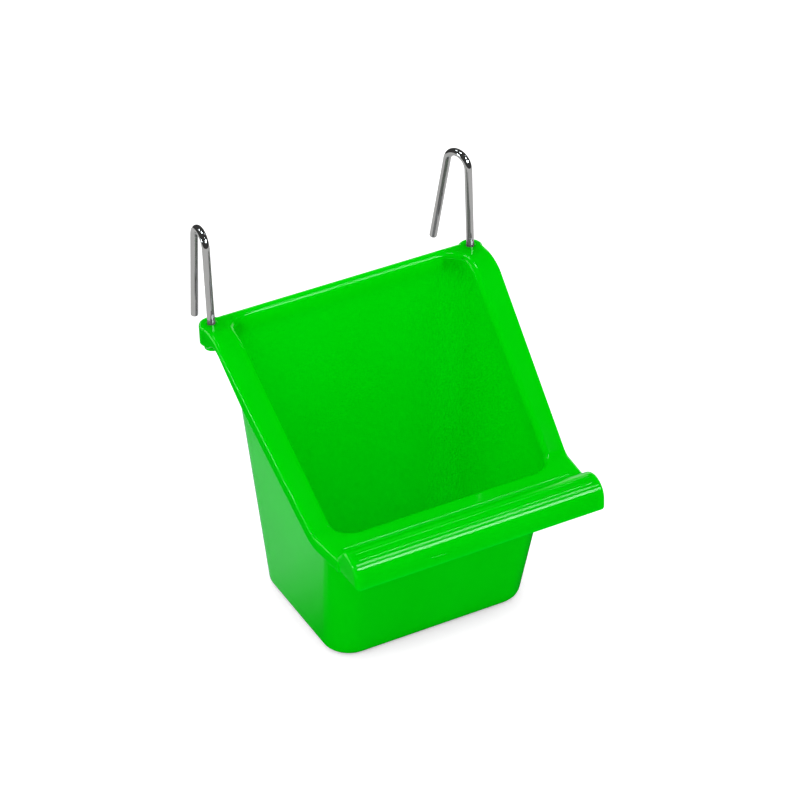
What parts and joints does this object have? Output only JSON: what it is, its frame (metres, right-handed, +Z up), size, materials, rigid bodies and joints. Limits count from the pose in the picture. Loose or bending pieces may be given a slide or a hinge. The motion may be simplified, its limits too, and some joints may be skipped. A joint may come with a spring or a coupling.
{
  "type": "seed cup",
  "caption": "Open tapered seed cup for a bird cage, with a sloping rim, a perch rail in front and swivelling wire hooks behind that hang it on the bars.",
  "frame": {"origin": "centre of the flat base that the cup stands on", "axes": "+X to the right for someone who faces the perch, +Y to the back where the hooks are, +Z up"},
  "size_m": [0.0718, 0.0772, 0.0965],
  "materials": {
    "green_plastic": "smooth and glossy, moulded in one bright green",
    "hook_wire": "bright nickel-plated wire with faint draw marks"
  },
  "bodies": {
    "cup": {"cup": "green_plastic"},
    "left_hook": {"left_hook": "hook_wire"},
    "right_hook": {"right_hook": "hook_wire"}
  },
  "joints": [
    {"name": "left_hook_swivel", "type": "hinge", "parent": "cup", "child": "left_hook", "pos_m": [-0.033, 0.02007, 0.0725], "axis": [0, 0, 1], "range_deg": [-69, 156]},
    {"name": "right_hook_swivel", "type": "hinge", "parent": "cup", "child": "right_hook", "pos_m": [0.033, 0.02007, 0.0725], "axis": [0, 0, 1], "range_deg": [-175, 54]}
  ]
}
